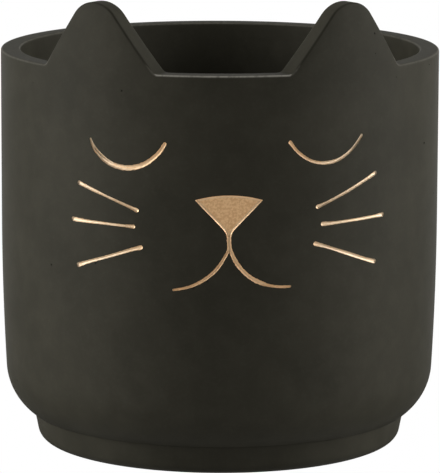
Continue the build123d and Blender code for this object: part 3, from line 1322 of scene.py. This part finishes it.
    def _blank(self) -> bpy.types.Mesh:
        """Makes the closed casting before its grooves and pits are cut.

        Returns:
            The mesh.
        """
        rows = self._roundings()
        outer_edge = [outer for _, outer, _ in rows]
        inner_edge = [inner for _, _, inner in rows]
        width = inner_edge[-1] - outer_edge[-1]
        crown = [outer_edge[-1] + share * width for share in self.crown_shares]
        rings = inner_edge + crown[::-1] + outer_edge[::-1]
        outer_turn = np.arctan2(outer_edge[0][:, 0], -outer_edge[0][:, 1])
        inner_turn = np.arctan2(inner_edge[0][:, 0], -inner_edge[0][:, 1])
        profile = self._lower_profile()
        lowest = min(range(len(profile)), key=lambda i: profile[i][0])
        for share in self.band_shares:
            rings.append(self._between(outer_edge[0], outer_turn, profile[0], share))
        for index, (radius, height) in enumerate(profile):
            turn = outer_turn if index <= lowest else inner_turn
            rings.append(bearing_ring(radius, turn, height))
        for share in self.band_shares[::-1]:
            rings.append(self._between(inner_edge[0], inner_turn, profile[-1], share))
        return ring_mesh("casting_blank", rings)

    @staticmethod
    def _between(edge: np.ndarray, turn: np.ndarray, below: Point, share: float) -> np.ndarray:
        """A ring part of the way down from the top's rounding to the first plain ring.

        Args:
            edge: Points where the rounding starts.
            turn: Their bearings from the front.
            below: Radius and height of the plain ring.
            share: How far down the ring lies, from nought to one.

        Returns:
            The ring.
        """
        radius = np.hypot(edge[:, 0], edge[:, 1])
        radius = radius + share * (below[0] - radius)
        height = edge[:, 2] + share * (below[1] - edge[:, 2])
        return bearing_ring(radius, turn, height)

    def _cutting_tree(self) -> GeometryGraph:
        """Builds the tree that strews air bubbles over the casting and cuts them and the grooves.

        Returns:
            The tree. Its input "Grooves" is the object that holds the groove cutters.
        """
        graph = GeometryGraph("cut_cement")
        grooves = graph.input("Grooves", "NodeSocketObject")
        names = ("Pit Spacing", "Pit Density", "Smallest Pit", "Largest Pit")
        spacing, density, smallest, largest = map(graph.input, names)
        seed = graph.input("Seed", "NodeSocketInt")
        pit_material = graph.input("Pit Material", "NodeSocketMaterial")
        points = graph.node("GeometryNodeDistributePointsOnFaces", {"distribute_method": "POISSON"}, {
            "Mesh": graph.geometry,
            "Distance Min": spacing,
            "Density Max": density,
            "Seed": seed,
        })
        chance = graph.node("FunctionNodeRandomValue", {"data_type": "FLOAT"}, {"Seed": seed})[1]
        size = smallest + (largest - smallest) * chance**5
        ball = graph.node("GeometryNodeMeshIcoSphere", None, {"Radius": 1.0, "Subdivisions": 2})["Mesh"]
        bubbles = graph.node("GeometryNodeInstanceOnPoints", None, {
            "Points": points["Points"],
            "Instance": ball,
            "Rotation": points["Rotation"],
            "Scale": size,
        })["Instances"]
        bubbles = graph.node("GeometryNodeRealizeInstances", None, {"Geometry": bubbles})["Geometry"]
        bubbles = graph.node("GeometryNodeSetMaterial", None, {
            "Geometry": bubbles,
            "Material": pit_material,
        })["Geometry"]
        cutters = graph.node("GeometryNodeObjectInfo", None, {"Object": grooves})["Geometry"]
        made = graph.node("GeometryNodeMeshBoolean", {"operation": "DIFFERENCE", "solver": "MANIFOLD"}, {
            "Mesh 1": graph.geometry,
            "Mesh 2": bubbles,
        })
        made = graph.node("GeometryNodeMeshBoolean", {"operation": "DIFFERENCE", "solver": "MANIFOLD"}, {
            "Mesh 1": made["Mesh"],
            "Mesh 2": cutters,
        })
        graph.finish(made["Mesh"], None)
        return graph

    def _roundings(self) -> list[tuple[float, np.ndarray, np.ndarray]]:
        """Rows of the rounded edges, from the wall to the top.

        Returns:
            For each row its turn, and its points on the outer and the inner edge.
        """
        rows = []
        for turn in np.linspace(0, math.pi / 2, self.rounding_rows):
            drop = self.rounding * (1 - math.sin(turn))
            inset = self.rounding * (1 - math.cos(turn))
            outer = self._ring(self.wall.radius, drop, inset, True)
            inner = self._ring(self.wall.cavity, drop, inset, False)
            rows.append((turn, outer, inner))
        return rows

    def _mark_edges(self, mesh: bpy.types.Mesh) -> None:
        """Stores each point's share of painted highlight on the rounded edges, with a little rubbed wear,
        below nought painted shade.

        Args:
            mesh: The cut casting.
        """
        rows = self._roundings()[1:-1]
        tree = KDTree(sum(len(outer) + len(inner) for _, outer, inner in rows))
        highlight_and_wear = []
        for turn, outer, inner in rows:
            for points, on_ear, on_rim, on_front in zip(
                (outer, inner), self.ear_shade_and_highlight, self.rim_wear_and_highlight, self.front_wear_and_highlight
            ):
                for point in points:
                    between = abs(bearing(point)) < self.front_turn
                    on_level = on_front if between else on_rim
                    share = on_ear if point[2] > self.wall.rim + self.ear_blend else on_level
                    tree.insert(point, len(highlight_and_wear))
                    highlight_and_wear.append(share * math.sin(2 * turn) ** 2)
        tree.balance()
        found = [tree.find(vertex.co) for vertex in mesh.vertices]
        values = [highlight_and_wear[index] if gap < TOUCH else 0.0 for _, index, gap in found]
        mark(mesh, "edge", "POINT", values)

    def _pinhole(self, across: float, up: float, radius: float) -> bpy.types.Mesh:
        """Cutter of one pinhole.

        Args:
            across: Millimetres across from the nose's lower tip.
            up: Millimetres up from it.
            radius: Radius in millimetres.

        Returns:
            A ball in the wall's surface.
        """
        turn = (across * MM + self.face.shift) / self.wall.radius
        height = np.array([up * MM + self.face.height])
        depth = float(self.wall.eased(height)[0])
        ball = bmesh.new()
        bmesh.ops.create_icosphere(ball, subdivisions=2, radius=radius * MM)
        place = Vector((depth * math.sin(turn), -depth * math.cos(turn), float(height[0])))
        bmesh.ops.translate(ball, verts=ball.verts, vec=place)
        mesh = bpy.data.meshes.new("pinhole")
        ball.to_mesh(mesh)
        ball.free()
        return mesh

    def build(self, grooves: bpy.types.Mesh) -> None:
        """Makes the casting and cuts its pits and grooves.

        Args:
            grooves: The cutters of the engraved lines.
        """
        blank = self._blank()
        plain = len(grooves.polygons)
        holes = [self._pinhole(*hole) for hole in self.pinholes]
        grooves = joined_meshes("all_cutters", [grooves, *holes])
        blank.materials.append(self.material)
        grooves.materials.append(self.material)
        grooves.materials.append(self.pit_material)
        for face in grooves.polygons[plain:]:
            face.material_index = 1
        holder = bpy.data.objects.new("groove_cutters", grooves)
        bpy.context.scene.collection.objects.link(holder)
        values = {
            "Grooves": holder,
            "Pit Spacing": self.pit_spacing,
            "Pit Density": self.pit_density,
            "Smallest Pit": self.smallest_pit,
            "Largest Pit": self.largest_pit,
            "Seed": self.seed,
            "Pit Material": self.pit_material,
        }
        mesh = self._cutting_tree().apply("cement_casting", blank, values)
        bpy.data.objects.remove(holder)
        self._mark_edges(mesh)
        self.piece = add_piece(mesh, "cement_casting")
        LOG.info("casting: %d faces from a blank of %d", len(mesh.polygons), len(blank.polygons))

    def dress(self) -> None:
        """Smooths the casting and lets it stand for its solid."""
        smooth(self.piece.data, 35)
        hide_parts("pot_body")
        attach(self.piece, "pot")


# Stopper and feet


@dataclass
class DrainStopper:
    """The rubber stopper of the drain hole, which keeps its solid's shape."""

    node: bpy.types.Object
    material: bpy.types.Material

    def dress(self) -> None:
        """Gives the stopper its rubber."""
        self.node.data.materials.clear()
        self.node.data.materials.append(self.material)


@dataclass
class FeltFeet:
    """Round felt pads under the foot, cut a little unevenly and worn round at the edge."""

    material: bpy.types.Material
    seed: int = 3
    sides: int = 72
    edge_round: float = 0.35 * MM
    edge_rows: int = 5
    middle_share: float = 0.5
    waver: float = 0.12 * MM
    waves: tuple[int, ...] = (3, 5, 8, 13, 21)
    places: tuple[str, ...] = ("front_left", "front_right", "back_left", "back_right")
    pieces: list[bpy.types.Object] = field(default_factory=list)

    def _pad(self, name: str, rng: np.random.Generator) -> bpy.types.Object:
        """Builds one pad in its solid's box.

        Args:
            name: Place of the pad under the foot.
            rng: Source of the edge's waver.

        Returns:
            The pad.
        """
        low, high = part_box("felt_pad_" + name)
        centre = ((low.x + high.x) / 2, (low.y + high.y) / 2)
        radius = (high.x - low.x) / 2
        turns = np.linspace(0, 2 * math.pi, self.sides, endpoint=False)
        wave = np.zeros(self.sides)
        for count in self.waves:
            size = rng.normal()
            wave += size * np.sin(count * turns + rng.uniform(0, 2 * math.pi)) / math.sqrt(count)
        wave = (wave - wave.max()) / np.ptp(wave) * self.waver
        bend = np.linspace(0, math.pi / 2, self.edge_rows)
        widths = [radius - inset + wave for inset in self.edge_round * (1 - np.sin(bend))]
        lifts = self.edge_round * (1 - np.cos(bend))
        rings = [ring(centre, radius * self.middle_share, turns, low.z)]
        rings += [ring(centre, width, turns, low.z + lift) for width, lift in zip(widths, lifts)]
        rings += [ring(centre, width, turns, high.z - lift) for width, lift in zip(widths, lifts)][::-1]
        rings.append(ring(centre, radius * self.middle_share, turns, high.z))
        return add_piece(capped_mesh("felt_" + name, rings), "felt_foot_" + name)

    def build(self) -> None:
        """Makes the four pads."""
        rng = np.random.default_rng(self.seed)
        for name in self.places:
            pad = self._pad(name, rng)
            pad.data.materials.append(self.material)
            self.pieces.append(pad)

    def dress(self) -> None:
        """Smooths the pads and lets each stand for its solid."""
        for name, pad in zip(self.places, self.pieces):
            smooth(pad.data, 60)
            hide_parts("felt_pad_" + name)
            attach(pad, "pot")


# Meshes


def ring(
    centre: Point, radius: Union[float, np.ndarray], turns: np.ndarray, height: float
) -> np.ndarray:
    """Points of one level ring.

    Args:
        centre: The ring's middle.
        radius: One radius, or one for each point.
        turns: Each point's turn from +X, anticlockwise.
        height: The ring's height.

    Returns:
        The points.
    """
    x = centre[0] + radius * np.cos(turns)
    y = centre[1] + radius * np.sin(turns)
    return np.c_[x, y, np.full_like(turns, height)]


def bearing(point: np.ndarray) -> float:
    """Angle of a point round the pot's axis from the front, anticlockwise."""
    return math.atan2(point[0], -point[1])


def bearing_ring(
    radius: Union[float, np.ndarray], turns: np.ndarray, height: Union[float, np.ndarray]
) -> np.ndarray:
    """Points round the pot's axis, each at its bearing from the front."""
    return np.c_[radius * np.sin(turns), -radius * np.cos(turns), np.full_like(turns, height)]


def quads_between(count: int, first: int, second: int) -> list[tuple[int, ...]]:
    """Faces between two closed rings of points.

    Args:
        count: Points in each ring.
        first: Number of the lower ring's first point.
        second: Number of the upper ring's first point.

    Returns:
        The faces.
    """
    return [
        (first + i, first + (i + 1) % count, second + (i + 1) % count, second + i)
        for i in range(count)
    ]


def ring_mesh(name: str, rings: Sequence[np.ndarray]) -> bpy.types.Mesh:
    """A closed mesh of rings, the last of which joins the first.

    Args:
        name: Name of the mesh.
        rings: Rings of as many points each, in order round the section.

    Returns:
        The mesh.
    """
    count = len(rings[0])
    faces: list[tuple[int, ...]] = []
    for index in range(len(rings)):
        faces += quads_between(count, index * count, (index + 1) % len(rings) * count)
    mesh = bpy.data.meshes.new(name)
    mesh.from_pydata(np.vstack(rings).tolist(), [], [face[::-1] for face in faces])
    mesh.validate()
    return mesh


def capped_mesh(name: str, rings: Sequence[np.ndarray]) -> bpy.types.Mesh:
    """A mesh of rings from the lowest up, closed by a flat fan at each end.

    Args:
        name: Name of the mesh.
        rings: Rings of as many points each.

    Returns:
        The mesh.
    """
    count = len(rings[0])
    points = np.vstack([*rings, rings[0].mean(0), rings[-1].mean(0)])
    low, high = len(points) - 2, len(points) - 1
    top = (len(rings) - 1) * count
    faces: list[tuple[int, ...]] = []
    for index in range(len(rings) - 1):
        faces += quads_between(count, index * count, (index + 1) * count)
    for i in range(count):
        after = (i + 1) % count
        faces.append((after, i, low))
        faces.append((top + i, top + after, high))
    mesh = bpy.data.meshes.new(name)
    mesh.from_pydata(points.tolist(), [], faces)
    mesh.validate()
    return mesh


def joined_meshes(name: str, meshes: Sequence[bpy.types.Mesh]) -> bpy.types.Mesh:
    """One mesh that holds the faces of several.

    Args:
        name: Name of the new mesh.
        meshes: The meshes, in order.

    Returns:
        The new mesh.
    """
    points, faces, start = [], [], 0
    for mesh in meshes:
        points += [tuple(vertex.co) for vertex in mesh.vertices]
        faces += [tuple(start + i for i in face.vertices) for face in mesh.polygons]
        start += len(mesh.vertices)
    joined = bpy.data.meshes.new(name)
    joined.from_pydata(points, [], faces)
    return joined


def mark(mesh: bpy.types.Mesh, name: str, domain: str, values: Sequence[float]) -> None:
    """Stores a number for every point or face of a mesh."""
    mesh.attributes.new(name, "FLOAT", domain).data.foreach_set("value", values)


def smooth(mesh: bpy.types.Mesh, sharp_deg: float) -> None:
    """Shades a mesh smooth, apart from edges that turn by more than an angle."""
    mesh.shade_smooth()
    mesh.set_sharp_from_angle(angle=math.radians(sharp_deg))


def add_piece(mesh: bpy.types.Mesh, name: str) -> bpy.types.Object:
    """Puts a mesh in the scene as a piece at the origin.

    Args:
        mesh: The piece's mesh, already in its place.
        name: The piece's name.

    Returns:
        The piece.
    """
    piece = bpy.data.objects.new(name, mesh)
    bpy.context.scene.collection.objects.link(piece)
    return piece


# Studio


@dataclass(frozen=True)
class PhotoCamera:
    """The camera of the photograph, fitted to the outlines of the rim, the wall and the foot."""

    focal_pixels: float = 3972.7
    frame_width: int = 440
    frame_height: int = 473
    centre_x: float = 219.39
    centre_y: float = 236.51
    distance: float = 1.6224
    height: float = 0.3719
    yaw_deg: float = 0.85
    pitch_deg: float = 10.02
    roll_deg: float = 0.18
    sensor: float = 36.0
    nearest: float = 0.01
    furthest: float = 50.0

    def place(self) -> None:
        """Makes the camera and makes it the scene's."""
        yaw, pitch, roll = (math.radians(a) for a in (self.yaw_deg, self.pitch_deg, self.roll_deg))
        level = math.cos(pitch)
        ahead = Vector((math.sin(yaw) * level, math.cos(yaw) * level, -math.sin(pitch)))
        right = Vector((math.cos(yaw), -math.sin(yaw), 0))
        up = right.cross(ahead)
        turned_right = right * math.cos(roll) + up * math.sin(roll)
        turned_up = up * math.cos(roll) - right * math.sin(roll)
        data = bpy.data.cameras.new("photo_camera")
        data.sensor_width = self.sensor
        data.lens = self.focal_pixels / self.frame_height * self.sensor
        data.shift_x = (self.frame_width / 2 - self.centre_x) / self.frame_height
        data.shift_y = (self.centre_y - self.frame_height / 2) / self.frame_height
        data.clip_start, data.clip_end = self.nearest, self.furthest
        camera = bpy.data.objects.new("photo_camera", data)
        bpy.context.scene.collection.objects.link(camera)
        place = Vector((-self.distance * math.sin(yaw), -self.distance * math.cos(yaw), self.height))
        axes = Matrix((turned_right, turned_up, -ahead)).transposed()
        camera.matrix_world = Matrix.Translation(place) @ axes.to_4x4()
        bpy.context.scene.camera = camera


@dataclass(frozen=True)
class Softbox:
    """A flat soft lamp that faces the pot."""

    name: str
    bearing_deg: float
    rise_deg: float
    distance: float
    width: float
    length: float
    watts: float

    def hang(self, target: Vector) -> None:
        """Hangs the lamp.

        Args:
            target: The point that it faces.
        """
        data = bpy.data.lights.new(self.name, "AREA")
        data.shape = "RECTANGLE"
        data.size, data.size_y = self.width, self.length
        data.energy = self.watts
        turn, rise = math.radians(self.bearing_deg), math.radians(self.rise_deg)
        level = math.cos(rise)
        away = Vector((math.sin(turn) * level, -math.cos(turn) * level, math.sin(rise)))
        lamp = bpy.data.objects.new(self.name, data)
        lamp.location = target + away * self.distance
        lamp.rotation_euler = away.to_track_quat("Z", "Y").to_euler()
        bpy.context.scene.collection.objects.link(lamp)


@dataclass
class Studio:
    """White studio: a pale floor, two softboxes on each side and one above and behind."""

    target: Vector = field(default_factory=lambda: Vector((0, 0, 0.095)))
    floor_radius: float = 9.0
    floor_tone: float = 0.44
    floor_sides: int = 96
    behind_span: Span = (0.55, 0.95)
    ahead_span: Span = (0.3, 0.9)
    horizon_span: Span = (0.25, 0.6)
    white_share: float = 1.0
    front_share: float = 0.48
    front_level: float = 0.01
    back_level: float = 0.02
    # Name, bearing and rise in degrees, distance, width, length and watts
    lamps: tuple[Softbox, ...] = (
        Softbox("left_front_softbox", -70, 12, 1.3, 0.6, 1.2, 11.6),
        Softbox("left_side_softbox", -92, 12, 1.3, 0.6, 1.2, 10.8),
        Softbox("right_front_softbox", 70, 12, 1.3, 0.6, 1.2, 6.8),
        Softbox("right_side_softbox", 92, 12, 1.3, 0.6, 1.2, 14.6),
        Softbox("top_softbox", 180, 80, 1.4, 1.2, 0.9, 6.0),
    )

    def _bearing(self, graph: Graph, way: Field) -> tuple[Field, Field]:
        """How far a level direction points behind the pot and in front of it.

        Args:
            graph: The tree.
            way: The direction, or a place on the floor.

        Returns:
            One behind and nought at the sides, and one in front and nought at the sides.
        """
        parts = graph.node("ShaderNodeSeparateXYZ", None, {"Vector": way})
        level = graph.maths("SQRT", parts["X"] * parts["X"] + parts["Y"] * parts["Y"] + 1e-6)
        cosine = parts["Y"] / level
        return graph.ramp(cosine, self.behind_span), graph.ramp(-cosine, self.ahead_span)

    def _floor(self) -> None:
        """Lays the floor, which looks white and keeps the pot's shadow."""
        graph = ShaderGraph("pale_floor")
        seen = graph.node("ShaderNodeLightPath")
        behind, ahead = self._bearing(graph, graph.place)
        mirrored = seen["Is Glossy Ray"] * graph.most(behind, ahead * self.front_share)
        shown = graph.most(graph.most(seen["Is Camera Ray"], mirrored), seen["Is Transmission Ray"])
        grey = (self.floor_tone,) * 3
        matt = graph.node("ShaderNodeBsdfDiffuse", None, {"Color": (*grey, 1)})["BSDF"]
        white = graph.node("ShaderNodeEmission", None, {"Strength": 1.0})["Emission"]
        mixed = graph.node("ShaderNodeMixShader", None, {0: shown * self.white_share, 1: matt, 2: white})
        material = graph.end(mixed["Shader"])
        turns = np.linspace(0, 2 * math.pi, self.floor_sides, endpoint=False)
        mesh = bpy.data.meshes.new("floor")
        edge = ring((0, 0), self.floor_radius, turns, 0)
        mesh.from_pydata(edge.tolist(), [], [tuple(range(self.floor_sides))])
        mesh.materials.append(material)
        add_piece(mesh, "floor")

    def _world(self) -> None:
        """Sets the surroundings: white to look at, dim in front of the pot, brighter behind it."""
        world = bpy.data.worlds.new("studio")
        world.use_nodes = True
        bpy.context.scene.world = world
        graph = Graph(world.node_tree)
        graph.tree.nodes.clear()
        seen = graph.node("ShaderNodeLightPath")
        way = graph.node("ShaderNodeTexCoord")["Generated"]
        parts = graph.node("ShaderNodeSeparateXYZ", None, {"Vector": way})
        behind, _ = self._bearing(graph, way)
        level = behind * (self.back_level - self.front_level) + self.front_level
        low = 1 - graph.ramp(parts["Z"], self.horizon_span)
        mirrored = seen["Is Glossy Ray"] * behind * low
        shown = graph.most(graph.most(seen["Is Camera Ray"], seen["Is Transmission Ray"]), mirrored)
        strength = level * (1 - shown) + shown
        light = graph.node("ShaderNodeBackground", None, {"Strength": strength})["Background"]
        graph.node("ShaderNodeOutputWorld", None, {"Surface": light})

    def build(self) -> None:
        """Makes the floor, the surroundings and the lamps."""
        self._floor()
        self._world()
        for lamp in self.lamps:
            lamp.hang(self.target)
        bpy.context.scene.view_settings.view_transform = "Standard"


def main() -> None:
    """Builds the pot and its studio in order."""
    logging.basicConfig(level=logging.INFO, format="%(name)s: %(message)s")
    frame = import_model()
    PhotoCamera().place()
    Studio().build()
    LOG.info("studio and camera are up")

    cement = CementFinish().material()
    wall = Wall()
    face = FacePlace()
    gold = GoldFace(wall, face, GoldPaintFinish().material())
    grooves = gold.build()
    casting = Casting(wall, face, cement, PitFinish().material())
    casting.build(grooves)
    casting.dress()
    gold.dress()
    LOG.info("casting and gold face are done")

    DrainStopper(frame["nodes"]["drain_stopper"], RubberFinish().material()).dress()
    feet = FeltFeet(FeltFinish().material())
    feet.build()
    feet.dress()
    LOG.info("stopper and felt feet are done")


if __name__ == "__main__":
    main()
